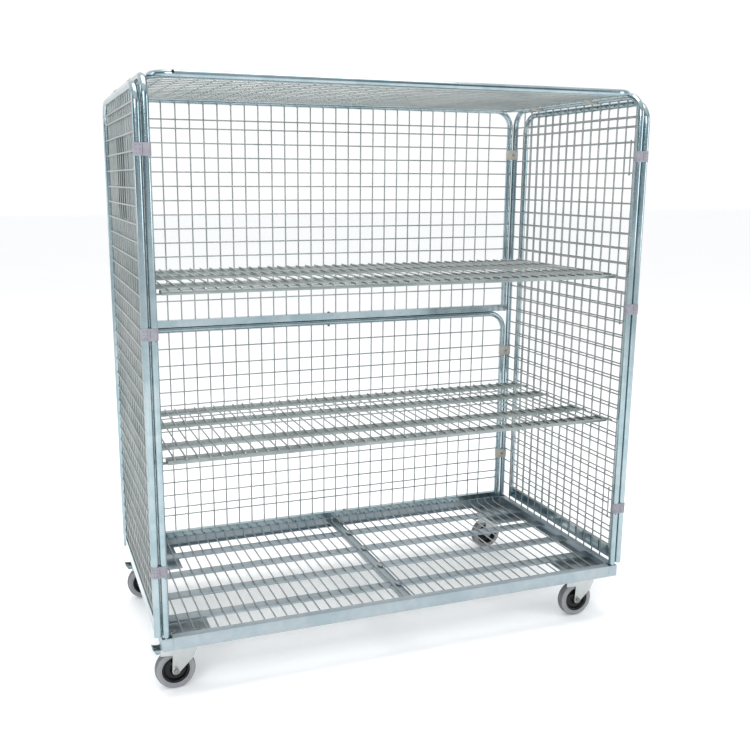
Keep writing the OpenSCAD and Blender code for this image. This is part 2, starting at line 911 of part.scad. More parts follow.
// The fork's folded sheet: two side plates, the hood over the wheel and the front return
module fork() {
    color([0.82, 0.84, 0.85])
        difference() {
            union() {
                for (side = [-1, 1])
                    translate([0, side > 0 ? leg_out : -leg_in, 0])
                        rotate([90, 0, 0])
                            linear_extrude(fork_t)
                                fork_side();
                translate([-30, -leg_out, hood_z - fork_t])
                    cube([57, 2 * leg_out, fork_t]);
                translate([27 - fork_t, -leg_out, hood_z - 18])
                    cube([fork_t, 2 * leg_out, 18]);
                translate([0, 0, hood_z - fork_t])
                    cylinder(r = race_r - 2, h = plate_z - 5 - gap - hood_z + fork_t);
            }
            translate([0, 0, hood_z - 20])
                cylinder(r = kingpin_d / 2 + pin_fit, h = 60);
            translate([-trail, 0, wheel_r])
                rotate([90, 0, 0])
                    cylinder(r = axle_d / 2 + seat_fit, h = 100, center = true);
        }
}

module pedal_pin() {
    translate([pedal_pin_x, leg_out, pedal_pin_z])
        rotate([90, 0, 0])
            cylinder(r = pedal_pin_r, h = 2 * leg_out);
}

module axle_bolt() {
    color(dull_wire) {
        translate([-trail, leg_out + 1, wheel_r])
            rotate([90, 0, 0])
                cylinder(d = axle_d, h = 2 * leg_out + 2);
        for (side = [-1, 1])
            translate([-trail, side > 0 ? leg_out + 6 : -leg_out, wheel_r])
                rotate([90, 0, 0])
                    cylinder(d = 17 / cos(30), h = 6, $fn = 6);
    }
}

// Tyre with rounded shoulders
module tyre() {
    shoulder = 7;
    color([0.58, 0.59, 0.61])
        translate([-trail, 0, wheel_r])
            rotate([90, 0, 0])
                rotate_extrude($fn = 96)
                    difference() {
                        translate([wheel_r - tyre_wall, -wheel_w / 2])
                            square([tyre_wall, wheel_w]);
                        for (s = [-1, 1])
                            translate([wheel_r - shoulder, s * (wheel_w / 2 - shoulder)])
                                difference() {
                                    translate([0, s > 0 ? 0 : -shoulder - 1])
                                        square([shoulder + 1, shoulder + 1]);
                                    circle(r = shoulder);
                                }
                    }
}

// Moulded wheel centre: rim, web and hub
module wheel_centre() {
    rim_r = wheel_r - tyre_wall - seat_fit;
    color([0.07, 0.07, 0.08])
        translate([-trail, 0, wheel_r])
            rotate([90, 0, 0])
                difference() {
                    union() {
                        difference() {
                            cylinder(r = rim_r, h = wheel_w - 4, center = true, $fn = 96);
                            cylinder(r = rim_r - 5, h = wheel_w, center = true, $fn = 96);
                        }
                        cylinder(r = rim_r - 4, h = 8, center = true, $fn = 96);
                        cylinder(r = hub_r, h = hub_w, center = true);
                    }
                    cylinder(r = axle_d / 2 + pin_fit, h = hub_w + 2, center = true);
                }
}

// Brake pedal on its pin at the back of the fork, its tread turned up
module brake_pedal() {
    half_w = leg_in - gap;
    color([0.30, 0.36, 0.38])
        translate([pedal_pin_x, 0, pedal_pin_z])
            difference() {
                rotate([90, 0, 0])
                    translate([0, 0, -half_w])
                        linear_extrude(2 * half_w)
                            union() {
                                circle(r = pedal_pin_r + 3);
                                polygon([[0, 0], [-5, -4], [-18, -4], [-28, 11], [-30.5, 9.5], [-19.5, -7], [-4, -7.5]]);
                            }
                rotate([90, 0, 0])
                    cylinder(r = pedal_pin_r + pin_fit, h = 100, center = true);
            }
}

module front_left_fork() {
    at_castor(-1, -1) {
        fork();
        pedal_pin();
    }
}

module front_left_axle_bolt() {
    at_castor(-1, -1)
        axle_bolt();
}

module front_left_tyre() {
    at_castor(-1, -1)
        tyre();
}

module front_left_wheel_centre() {
    at_castor(-1, -1)
        wheel_centre();
}

module front_left_brake_pedal() {
    at_castor(-1, -1)
        brake_pedal();
}

module front_right_fork() {
    at_castor(1, -1)
        fork();
}

module front_right_axle_bolt() {
    at_castor(1, -1)
        axle_bolt();
}

module front_right_tyre() {
    at_castor(1, -1)
        tyre();
}

module front_right_wheel_centre() {
    at_castor(1, -1)
        wheel_centre();
}

module rear_left_fork() {
    at_castor(-1, 1) {
        fork();
        pedal_pin();
    }
}

module rear_left_axle_bolt() {
    at_castor(-1, 1)
        axle_bolt();
}

module rear_left_tyre() {
    at_castor(-1, 1)
        tyre();
}

module rear_left_wheel_centre() {
    at_castor(-1, 1)
        wheel_centre();
}

module rear_left_brake_pedal() {
    at_castor(-1, 1)
        brake_pedal();
}

module rear_right_fork() {
    at_castor(1, 1)
        fork();
}

module rear_right_axle_bolt() {
    at_castor(1, 1)
        axle_bolt();
}

module rear_right_tyre() {
    at_castor(1, 1)
        tyre();
}

module rear_right_wheel_centre() {
    at_castor(1, 1)
        wheel_centre();
}

front_rail();
rear_rail();
left_end_rail();
right_end_rail();
corner_sockets();
centre_channel();
deck_slats();
deck_wires();
castor_mounting_plates();
left_hoop();
right_hoop();
left_side_mesh();
right_side_mesh();
rear_upper_frame();
rear_upper_mesh();
rear_lower_frame();
rear_lower_mesh();
rear_clips();
rear_clip_screws();
panel_bolts();
roof_frame();
roof_mesh();
roof_clips();
document_plate();
left_hinge_clips();
right_hinge_clips();
left_door_frame();
right_door_frame();
left_door_mesh();
right_door_mesh();
upper_shelf_slats();
upper_shelf_wires();
lower_shelf_slats();
lower_shelf_wires();
castor_top_plates();
castor_plate_bolts();
kingpins();
front_left_fork();
front_left_axle_bolt();
front_left_tyre();
front_left_wheel_centre();
front_left_brake_pedal();
front_right_fork();
front_right_axle_bolt();
front_right_tyre();
front_right_wheel_centre();
rear_left_fork();
rear_left_axle_bolt();
rear_left_tyre();
rear_left_wheel_centre();
rear_left_brake_pedal();
rear_right_fork();
rear_right_axle_bolt();
rear_right_tyre();
rear_right_wheel_centre();
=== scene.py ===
"""Looks of a roll cage container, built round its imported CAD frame.

Every position comes from the frame's own nodes and joints. Lengths are in metres.
"""

from __future__ import annotations

import json
import logging
import math
import random
from collections import defaultdict
from dataclasses import dataclass, field
from enum import Enum
from typing import Any, Sequence

import bmesh
import bpy
from mathutils import Matrix, Vector

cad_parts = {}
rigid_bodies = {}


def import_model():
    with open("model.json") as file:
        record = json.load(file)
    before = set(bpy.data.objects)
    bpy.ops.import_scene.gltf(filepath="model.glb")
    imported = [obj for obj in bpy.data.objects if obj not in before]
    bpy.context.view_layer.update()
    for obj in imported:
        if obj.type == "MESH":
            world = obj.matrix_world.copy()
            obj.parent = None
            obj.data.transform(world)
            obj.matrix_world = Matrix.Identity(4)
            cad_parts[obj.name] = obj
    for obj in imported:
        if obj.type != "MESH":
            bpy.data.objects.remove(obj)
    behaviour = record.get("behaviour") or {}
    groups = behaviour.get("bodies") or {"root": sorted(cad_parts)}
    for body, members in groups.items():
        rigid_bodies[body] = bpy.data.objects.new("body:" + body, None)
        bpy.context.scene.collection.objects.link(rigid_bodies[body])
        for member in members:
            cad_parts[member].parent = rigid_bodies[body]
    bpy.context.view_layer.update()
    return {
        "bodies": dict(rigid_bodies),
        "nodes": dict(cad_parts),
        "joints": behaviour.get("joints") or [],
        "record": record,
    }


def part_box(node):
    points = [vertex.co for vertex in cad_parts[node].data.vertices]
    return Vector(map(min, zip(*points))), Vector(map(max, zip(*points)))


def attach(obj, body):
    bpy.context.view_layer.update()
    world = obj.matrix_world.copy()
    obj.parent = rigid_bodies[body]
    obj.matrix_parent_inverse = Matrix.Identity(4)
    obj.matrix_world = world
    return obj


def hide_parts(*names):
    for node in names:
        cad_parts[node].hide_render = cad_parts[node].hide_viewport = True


LOG = logging.getLogger("roll_cage")
MM = 0.001
SEED = 638
CAGE = "cage"

FULL_TURN = 2 * math.pi
QUARTER_TURN = math.pi / 2

Colour = tuple[float, float, float]
Triple = tuple[float, float, float]
Span = tuple[float, float]
Outline = tuple[Span, ...]
Box = tuple[Vector, Vector]


def arc(angle: float, steps: int) -> list[float]:
    """Angles in equal steps, from 0 to the whole angle."""
    return [angle * k / steps for k in range(steps + 1)]


class Axis(Enum):
    """The three directions of the frame."""

    X = 0
    Y = 1
    Z = 2

    @property
    def vector(self) -> Vector:
        """The unit vector along the axis."""
        return Vector([1.0 if i == self.value else 0.0 for i in range(3)])

    @property
    def triad(self) -> tuple[Vector, ...]:
        """The unit vectors along this axis and the two that follow it, in turn."""
        return tuple(Axis((self.value + i) % 3).vector for i in range(3))


# ---- shader maths


class Sock:
    """A shader socket that takes part in plain arithmetic."""

    def __init__(self, graph: Graph, link: Any) -> None:
        """Wraps an output socket of a graph."""
        self.graph = graph
        self.link = link

    def _maths(self, operation: str, *values: Sock | float) -> Sock:
        """Adds one Math node on the given values."""
        return self.graph.node("ShaderNodeMath", {"operation": operation}, dict(enumerate(values)))

    def __add__(self, other: Sock | float) -> Sock:
        """Sum."""
        return self._maths("ADD", self, other)

    __radd__ = __add__

    def __sub__(self, other: Sock | float) -> Sock:
        """Difference."""
        return self._maths("SUBTRACT", self, other)

    def __rsub__(self, other: Sock | float) -> Sock:
        """Difference from a number."""
        return self._maths("SUBTRACT", other, self)

    def __mul__(self, other: Sock | float) -> Sock:
        """Product."""
        return self._maths("MULTIPLY", self, other)

    __rmul__ = __mul__

    def __abs__(self) -> Sock:
        """Size without its sign."""
        return self._maths("ABSOLUTE", self)

    def part(self, axis: Axis) -> Sock:
        """One coordinate of a vector."""
        return self.graph.node("ShaderNodeSeparateXYZ", inputs={0: self}, output=axis.value)

    def ramp(self, low: float, high: float) -> Sock:
        """A smooth step from 0 at low to 1 at high.

        Args:
            low: The value that gives 0.
            high: The value that gives 1.

        Returns:
            The stepped value.
        """
        settings = {"interpolation_type": "SMOOTHSTEP", "clamp": True}
        inputs = {"Value": self, "From Min": low, "From Max": high}
        return self.graph.node("ShaderNodeMapRange", settings, inputs)


class Graph:
    """A node tree that is written as plain arithmetic."""

    def __init__(self, tree: Any) -> None:
        """Takes hold of a material's or the world's node tree."""
        self.tree = tree

    def node(
        self,
        kind: str,
        settings: dict[str, Any] | None = None,
        inputs: dict[Any, Any] | None = None,
        output: int | str = 0,
    ) -> Sock:
        """Adds a node.

        Args:
            kind: Blender's node type.
            settings: Properties that are set before the sockets.
            inputs: Values or Socks by socket name or number.
            output: The output to return.

        Returns:
            The chosen output.
        """
        made = self.tree.nodes.new(kind)
        for key, value in (settings or {}).items():
            setattr(made, key, value)
        for key, value in (inputs or {}).items():
            self.feed(made.inputs[key], value)
        return Sock(self, made.outputs[output])

    def feed(self, socket: Any, value: Any) -> None:
        """Links a Sock to an input, or sets a plain value on it.

        Args:
            socket: Blender's input socket.
            value: A Sock, a number or a colour.
        """
        if isinstance(value, Sock):
            self.tree.links.new(value.link, socket)
        elif isinstance(value, tuple) and len(value) == 3 and socket.type == "RGBA":
            socket.default_value = (*value, 1.0)
        else:
            socket.default_value = value

    def set(self, **values: Any) -> None:
        """Feeds the surface shader's inputs, their spaces written as underscores."""
        for key, value in values.items():
            self.feed(self.tree.nodes["Principled BSDF"].inputs[key.replace("_", " ")], value)

    def place(self, stretch: Triple = (1.0, 1.0, 1.0)) -> Sock:
        """The surface's own position, stretched along each axis."""
        where = self.node("ShaderNodeTexCoord", output="Object")
        return self.node("ShaderNodeVectorMath", {"operation": "MULTIPLY"}, {0: where, 1: stretch})

    def noise(self, at: Sock, scale: float, detail: float = 2.0) -> Sock:
        """Soft noise, from 0 to 1, in lumps per metre and octaves of detail."""
        inputs = {"Vector": at, "Scale": scale, "Detail": detail}
        return self.node("ShaderNodeTexNoise", inputs=inputs)

    def mix(self, share: Sock | float, low: Sock | Colour, high: Sock | Colour) -> Sock:
        """Mixes two colours.

        Args:
            share: 0 for low and 1 for high.
            low: The first colour.
            high: The second colour.

        Returns:
            The mixed colour.
        """
        low = low if isinstance(low, Sock) else (*low, 1.0)
        high = high if isinstance(high, Sock) else (*high, 1.0)
        inputs = {0: share, 6: low, 7: high}
        return self.node("ShaderNodeMix", {"data_type": "RGBA"}, inputs, output=2)

    def bump(self, height: Sock, depth: float, strength: float) -> None:
        """Feeds a height to the shader's normal: 1 stands for the depth, shown at a strength."""
        inputs = {"Height": height, "Distance": depth, "Strength": strength}
        self.set(Normal=self.node("ShaderNodeBump", inputs=inputs))


# ---- finishes


@dataclass(frozen=True)
class Look:
    """A finish that makes its material once. Its slot is its name, if none is given."""

    name: str
    slot: str = field(default="", kw_only=True)

    def wire(self, g: Graph) -> None:
        """Feeds the surface shader."""
        raise NotImplementedError(self.name)

    def material(self) -> bpy.types.Material:
        """Makes the material, or finds the one that is made.

        Returns:
            The material.
        """
        name = self.name + "_look"
        ready = bpy.data.materials.get(name)
        if ready is None:
            ready = bpy.data.materials.new(name)
            ready.use_nodes = True
            self.wire(Graph(ready.node_tree))
        return ready


@dataclass(frozen=True)
class ZincPlate(Look):
    """Bright zinc plating: cloudy tints, faint drawing lines and a little dust."""

    light: Colour
    tint: Colour
    rough: float = 0.28
    grain: Triple = (1.0, 1.0, 0.06)
    dust: float = 0.25
    mottle: float = 0.16
    relief: float = 0.25
    metal: float = 1.0
    film: Colour = (0.50, 0.51, 0.50)
    cloud_scale: float = 5.0
    patch_scale: float = 38.0
    line_scale: float = 900.0
    speck_scale: float = 320.0
    film_scale: float = 11.0
    depth: float = 0.12 * MM

    def wire(self, g: Graph) -> None:
        """Wires plating, dust and fine lines.

        Args:
            g: The material's graph.
        """
        place = g.place()
        clouds = g.noise(place, self.cloud_scale, 3.0)
        patches = g.noise(place, self.patch_scale, 4.0)
        lines = g.noise(g.place(self.grain), self.line_scale)
        specks = g.noise(place, self.speck_scale, 5.0).ramp(0.62, 0.78)
        tone = (clouds * 0.65 + patches * 0.35).ramp(0.34, 0.66)
        plated = g.mix(tone, self.light, self.tint)
        drifts = g.noise(place, self.film_scale, 6.0).ramp(0.5, 0.74)
        dusty = (drifts + specks * 0.5) * self.dust
        g.set(
            Base_Color=g.mix(dusty, plated, self.film),
            Metallic=self.metal,
            Roughness=patches * self.mottle + dusty * 0.35 + (self.rough - self.mottle / 2),
        )
        g.bump(lines * 0.6 + patches * 0.4, self.depth, self.relief)


@dataclass(frozen=True)
class MouldedPlastic(Look):
    """Moulded plastic: faint mottling, fine pitting and scuffs."""

    colour: Colour
    shade: Colour
    rough: float = 0.5
    shine: float = 0.5
    mottle_scale: float = 60.0
    pit_scale: float = 1400.0
    scuff_scale: float = 160.0
    scuff_grain: Triple = (1.0, 1.0, 8.0)

    def wire(self, g: Graph) -> None:
        """Wires mottling, pits and scuffs.

        Args:
            g: The material's graph.
        """
        place = g.place()
        mottle = g.noise(place, self.mottle_scale, 3.0).ramp(0.3, 0.7)
        pits = g.noise(place, self.pit_scale)
        scuffs = g.noise(g.place(self.scuff_grain), self.scuff_scale, 4.0).ramp(0.6, 0.72)
        g.set(
            Base_Color=g.mix(mottle * 0.7 + scuffs * 0.3, self.colour, self.shade),
            Roughness=scuffs * 0.2 + mottle * 0.06 + self.rough,
            Specular_IOR_Level=self.shine,
        )
        g.bump(pits, depth=0.2 * MM, strength=0.2)


@dataclass(frozen=True)
class GreyRubber(Look):
    """Non-marking grey tyre rubber, dusty and darker on the tread."""

    colour: Colour
    dust: Colour
    tread_tone: Colour
    grime_scale: float = 45.0
    streak_scale: float = 130.0
    streak_grain: Triple = (1.0, 6.0, 1.0)
    grit_scale: float = 900.0

    def wire(self, g: Graph) -> None:
        """Wires side walls, tread and grime.

        Args:
            g: The material's graph.
        """
        place = g.place()
        grime = g.noise(place, self.grime_scale, 5.0).ramp(0.42, 0.7)
        streaks = g.noise(g.place(self.streak_grain), self.streak_scale, 3.0).ramp(0.45, 0.7)
        facing = g.node("ShaderNodeTexCoord", output="Normal").part(Axis.Y)
        side = abs(facing).ramp(0.35, 0.8)
        rubber = g.mix(side * (1 - streaks * 0.2), self.tread_tone, self.colour)
        g.set(
            Base_Color=g.mix(grime * 0.35, rubber, self.dust),
            Roughness=grime * 0.15 + 0.55,
        )
        g.bump(g.noise(place, self.grit_scale, 3.0), depth=0.3 * MM, strength=0.3)


@dataclass(frozen=True)
class CoatedSheet(Look):
    """Dark coated sheet with a film of dust and rubbed streaks."""

    colour: Colour
    worn: Colour
    shine: float = 0.12
    film_scale: float = 14.0
    rub_scale: float = 110.0
    rub_grain: Triple = (1.0, 1.0, 0.15)
    peel_scale: float = 500.0

    def wire(self, g: Graph) -> None:
        """Wires dust film and rubs.

        Args:
            g: The material's graph.
        """
        place = g.place()
        film = g.noise(place, self.film_scale, 5.0).ramp(0.4, 0.75)
        rubs = g.noise(g.place(self.rub_grain), self.rub_scale, 3.0).ramp(0.52, 0.7)
        g.set(
            Base_Color=g.mix(film * 0.5 + rubs * 0.3, self.colour, self.worn),
            Specular_IOR_Level=self.shine,
            Roughness=film * 0.15 + 0.6,
        )
        g.bump(g.noise(place, self.peel_scale), depth=0.2 * MM, strength=0.15)


@dataclass(frozen=True)
class StudioFloor(Look):
    """Pale matt studio floor."""

    colour: Colour = (0.95, 0.95, 0.95)
    paler: float = 1.02
    rough: float = 0.85
    glow: float = 0.1
    wash_scale: float = 0.7

    def wire(self, g: Graph) -> None:
        """Wires the floor's faint wash and glow.

        Args:
            g: The material's graph.
        """
        wash = g.noise(g.place(), self.wash_scale).ramp(0.3, 0.7)
        pale = tuple(c * self.paler for c in self.colour)
        g.set(Base_Color=g.mix(wash, self.colour, pale), Roughness=self.rough)
        g.set(Emission_Color=(1.0, 1.0, 1.0), Emission_Strength=self.glow)


class Finish(Enum):
    """The object's finishes."""

    TUBE = ZincPlate(
        "zinc_tube",
        (0.42, 0.50, 0.53),
        (0.29, 0.39, 0.42),
        rough=0.15,
        grain=(1.0, 1.0, 0.3),
        dust=0.10,
        mottle=0.05,
        relief=0.02,
    )
    SHEET = ZincPlate(
        "zinc_sheet", (0.41, 0.47, 0.50), (0.33, 0.40, 0.44), 0.38, (0.06, 1.0, 1.0), metal=0.72
    )
    SHELF = ZincPlate(
        "shelf_sheet", (0.33, 0.37, 0.37), (0.24, 0.28, 0.27), 0.34, (0.06, 1.0, 1.0), slot="zinc_sheet"
    )
    WIRE = ZincPlate("zinc_wire", (0.40, 0.42, 0.41), (0.31, 0.34, 0.34), 0.32)
    CASTOR = ZincPlate("castor_zinc", (0.54, 0.555, 0.55), (0.46, 0.48, 0.475), 0.32)
    FASTENER = ZincPlate("fastener", (0.30, 0.30, 0.29), (0.20, 0.20, 0.19), 0.3)
    PEDAL = ZincPlate("pedal_steel", (0.30, 0.38, 0.40), (0.22, 0.29, 0.31), 0.3)
    LILAC = MouldedPlastic("lilac_clip", (0.30, 0.29, 0.33), (0.22, 0.21, 0.245))
    # Near-black copy of the clip plastic: painted shade of the hinge clips' dimples and waist groove.
    DIMPLE = MouldedPlastic("lilac_shade", (0.10, 0.095, 0.12), (0.07, 0.065, 0.08), slot="lilac_clip")
    BEIGE = MouldedPlastic("beige_clip", (0.52, 0.50, 0.44), (0.44, 0.42, 0.37))
    PLATE = CoatedSheet("document_plate", (0.02, 0.03, 0.05), (0.06, 0.075, 0.09))
    TYRE = GreyRubber("grey_tyre", (0.27, 0.275, 0.29), (0.30, 0.30, 0.30), (0.12, 0.12, 0.125))
    CENTRE = MouldedPlastic("wheel_centre", (0.005, 0.005, 0.006), (0.009, 0.009, 0.010), 0.16, 0.28)

    @property
    def slot(self) -> str:
        """The record's material slot."""
        return self.value.slot or self.value.name


# ---- mesh tools


def both_sides(stretch: Sequence[Span], between: Sequence[Span] = ()) -> list[Span]:
    """A closed profile: the mirror image of a stretch, points between and the stretch."""
    mirrored = [(-along, radius) for along, radius in reversed(stretch)]
    return [*mirrored, *between, *stretch]


@dataclass
class Wire:
    """One straight wire of a CAD mesh node."""

    axis: Axis
    start: Vector
    end: Vector
    radius: float

    def at(self, axis: Axis) -> float:
        """The wire's place along another axis."""
        return self.start[axis.value]

    def spans(self, axis: Axis, place: float) -> bool:
        """Whether the wire passes a place along its own axis."""
        return self.start[axis.value] <= place <= self.end[axis.value]


class Shell:
    """Collects one piece's mesh and turns it into an object."""

    merge_gap = 0.002 * MM
    flat_angle = math.radians(0.6)
    sharp_angle = math.radians(30)
    nearly_parallel = 0.95

    def __init__(self, name: str) -> None:
        """Starts an empty mesh for a piece of this name."""
        self.name = name
        self.bm = bmesh.new()

    def loft(self, rings: Sequence[Sequence[Vector]], closed: bool = False) -> None:
        """Joins rings of points into a skin.

        Args:
            rings: Rings with the same number of points.
            closed: Whether the last ring joins the first. If not, both end rings are filled.
        """
        rows = [[self.bm.verts.new(p) for p in ring] for ring in rings]
        count = len(rows[0])
        pairs = list(zip(rows, rows[1:])) + ([(rows[-1], rows[0])] if closed else [])
        for a, b in pairs:
            for i in range(count):
                j = (i + 1) % count
                self.bm.faces.new((a[i], a[j], b[j], b[i]))
        if not closed:
            self.bm.faces.new(list(reversed(rows[0])))
            self.bm.faces.new(rows[-1])

    def sweep(self, path: Sequence[Vector], radius: float, sides: int) -> None:
        """A round bar along a path.

        Args:
            path: Points along the bar's axis.
            radius: The bar's radius.
            sides: Points round the bar.
        """
        rings = []
        reference = Axis.Z.vector
        for i, point in enumerate(path):
            ahead = path[min(i + 1, len(path) - 1)] - path[max(i - 1, 0)]
            ahead.normalize()
            if abs(ahead.dot(reference)) > self.nearly_parallel:
                reference = Axis.X.vector
            side = ahead.cross(reference).normalized()
            up = side.cross(ahead)
            turns = arc(FULL_TURN, sides)[:-1]
            rings.append([point + (side * math.cos(t) + up * math.sin(t)) * radius for t in turns])
        self.loft(rings)

    def lathe(self, centre: Vector, axis: Axis, profile: Sequence[Span], sides: int) -> None:
        """Turns a closed profile about an axis.

        Args:
            centre: The origin of the profile.
            axis: The turning axis.
            profile: Pairs of distance along the axis and radius, round a closed loop.
            sides: Steps round the axis.
        """
        along, side, up = axis.triad
        rings = []
        for t in arc(FULL_TURN, sides)[:-1]:
            out = side * math.cos(t) + up * math.sin(t)
            rings.append([centre + along * a + out * r for a, r in profile])
        self.loft(rings, closed=True)

    def pillow(
        self, centre: Vector, radii: Triple, grow: float = 1.0, sides: int = 8, rows: int = 4
    ) -> None:
        """A small rounded lump, such as a weld nugget.

        Args:
            centre: Its middle.
            radii: Its half sizes along the three axes.
            grow: What they are multiplied by.
            sides: Points round it.
            rows: Bands from pole to pole.
        """
        half = Vector(radii) * grow
        bottom = self.bm.verts.new(centre - Vector((0, 0, half.z)))
        top = self.bm.verts.new(centre + Vector((0, 0, half.z)))
        bands = []
        for tilt in arc(math.pi, rows)[1:-1]:
            out = math.sin(tilt)
            ring = []
            for t in arc(FULL_TURN, sides)[:-1]:
                offset = (half.x * out * math.cos(t), half.y * out * math.sin(t), -half.z * math.cos(tilt))
                ring.append(self.bm.verts.new(centre + Vector(offset)))
            bands.append(ring)
        for k in range(sides):
            j = (k + 1) % sides
            self.bm.faces.new((bottom, bands[0][j], bands[0][k]))
            self.bm.faces.new((top, bands[-1][k], bands[-1][j]))
            for a, b in zip(bands, bands[1:]):
                self.bm.faces.new((a[k], a[j], b[j], b[k]))

    def prism(self, outline: Sequence[Span], axis: Axis, low: float, high: float) -> None:
        """A flat outline pushed along an axis.

        Args:
            outline: Places along the two axes that follow axis, in turn.
            axis: The direction it is pushed in.
            low: Where it starts.
            high: Where it ends.
        """
        along, side, up = axis.triad
        rings = [[along * place + side * a + up * b for a, b in outline] for place in (low, high)]
        self.loft(rings)

    def soften(self, width: float) -> None:
        """Rounds every sharp edge.

        Args:
            width: The rounding's width.
        """
        bm = self.bm
        bmesh.ops.remove_doubles(bm, verts=bm.verts, dist=self.merge_gap)
        bmesh.ops.dissolve_limit(bm, angle_limit=self.flat_angle, verts=bm.verts, edges=bm.edges)
        joined = (e for e in bm.edges if len(e.link_faces) == 2)
        sharp = [e for e in joined if e.calc_face_angle(0) > self.sharp_angle]
        bmesh.ops.bevel(
            bm, geom=sharp, offset=width, segments=2, profile=0.5, affect="EDGES", clamp_overlap=True
        )

    def piece(self, finish: Finish, body: str, *nodes: str, smooth: float = 35.0) -> None:
        """Makes the object, gives it its finish and hangs it on its body.

        Args:
            finish: The finish it shows.
            body: The CAD body that it moves with.
            nodes: The CAD nodes that it stands for.
            smooth: The angle up to which edges shade smoothly, in degrees.
        """
        mesh = bpy.data.meshes.new(self.name)
        bmesh.ops.recalc_face_normals(self.bm, faces=self.bm.faces)
        self.bm.to_mesh(mesh)
        self.bm.free()
        mesh.shade_smooth()
        mesh.set_sharp_from_angle(angle=math.radians(smooth))
        mesh.materials.append(finish.value.material())
        made = bpy.data.objects.new(self.name, mesh)
        bpy.context.scene.collection.objects.link(made)
        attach(made, body)
        finish.slot
        if nodes:
            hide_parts(*nodes)
        LOG.info("%s rides on %s", self.name, body)


@dataclass
class Assembly:
    """A sub-assembly that stands on the loaded frame."""

    frame: dict[str, Any]

    def islands(self, node: str) -> list[Box]:
        """The box of each separate solid in a CAD node.

        Args:
            node: The node's name.

        Returns:
            The lowest and highest corner of each solid.
        """
        mesh = self.frame["nodes"][node].data
        links: dict[Any, Any] = {}

        def root(key: Any) -> Any:
            """Finds a group's first member.

            Args:
                key: A member of the group.

            Returns:
                The first member.
            """
            while links.setdefault(key, key) != key:
                links[key] = links[links[key]]
                key = links[key]
            return key

        keys = [tuple(round(c / (0.01 * MM)) for c in v.co) for v in mesh.vertices]
        for edge in mesh.edges:
            a, b = (keys[i] for i in edge.vertices)
            links[root(a)] = root(b)
        groups: dict[Any, list[Vector]] = defaultdict(list)
        for key, vertex in zip(keys, mesh.vertices):
            groups[root(key)].append(vertex.co)
        boxes = []
        for points in groups.values():
            columns = list(zip(*points))
            columns = list(zip(*points))
            boxes.append(tuple(Vector([pick(c) for c in columns]) for pick in (min, max)))
        return sorted(boxes, key=lambda box: tuple(box[0]))

    def wires(self, node: str) -> list[Wire]:
        """The straight wires of a CAD mesh node.

        Args:
            node: The node's name.

        Returns:
            The wires, each along the longest side of its box.
        """
        found = []
        for low, high in self.islands(node):
            size = high - low
            axis = Axis(max(range(3), key=lambda i: size[i]))
            middle = (low + high) / 2
            start, end = middle.copy(), middle.copy()
            start[axis.value] = low[axis.value]
            end[axis.value] = high[axis.value]
            found.append(Wire(axis, start, end, min(size) / 2))
        return found

    def filleted(self, node: str, body: str, finish: Finish, width: float) -> None:
        """Replaces a CAD node by the same shape with its edges rounded.

        Args:
            node: The CAD node.
            body: The body that it rides on.
            finish: Its finish.
            width: The rounding's width.
        """
        shell = Shell(node + "_shaped")
        shell.bm.from_mesh(self.frame["nodes"][node].data)
        shell.soften(width)
        shell.piece(finish, body, node)

    def dress(self, node: str, finish: Finish) -> None:
        """Gives a CAD node that stays as it is its finish.

        Args:
            node: The CAD node.
            finish: The finish.
        """
        mesh = self.frame["nodes"][node].data
        mesh.materials.clear()
        mesh.materials.append(finish.value.material())
        LOG.info("%s dressed in %s", node, finish.slot)


# ---- sub-assemblies


@dataclass
class WeldedMesh(Assembly):
    """The welds of one flat mesh: a nugget at each crossing and a bead at each wire's end."""

    node: str
    body: str
    nugget: Triple = (3.1 * MM, 3.1 * MM, 2.48 * MM)
    bead: Triple = (3.4 * MM, 3.4 * MM, 3.06 * MM)
    growth: Span = (0.85, 1.12)
    rng: random.Random = field(default_factory=lambda: random.Random(SEED))

    def build(self) -> None:
        """Adds the welds as one piece."""
        wires = self.wires(self.node)
        shell = Shell(self.node + "_welds")
        axes = sorted({w.axis for w in wires}, key=lambda axis: axis.value)
        if len(axes) == 2:
            self._crossings(shell, wires, *axes)
        for wire in wires:
            for end in (wire.start, wire.end):
                shell.pillow(end, self.bead, self.rng.uniform(*self.growth))
        shell.piece(Finish.WIRE, self.body)

    def _crossings(self, shell: Shell, wires: list[Wire], one: Axis, two: Axis) -> None:
        """Adds a nugget where each pair of wires meets.

        Args:
            shell: The piece that the nuggets join.
            wires: The mesh's wires.
            one: The direction of one set of wires.
            two: The direction of the other set.
        """
        third = ({0, 1, 2} - {one.value, two.value}).pop()
        for a in (w for w in wires if w.axis is one):
            for b in (w for w in wires if w.axis is two):
                if not (a.spans(one, b.at(one)) and b.spans(two, a.at(two))):
                    continue
                centre = Vector((0, 0, 0))
                centre[one.value] = b.at(one)
                centre[two.value] = a.at(two)
                centre[third] = (a.start[third] + b.start[third]) / 2
                shell.pillow(centre, self.nugget, self.rng.uniform(*self.growth))


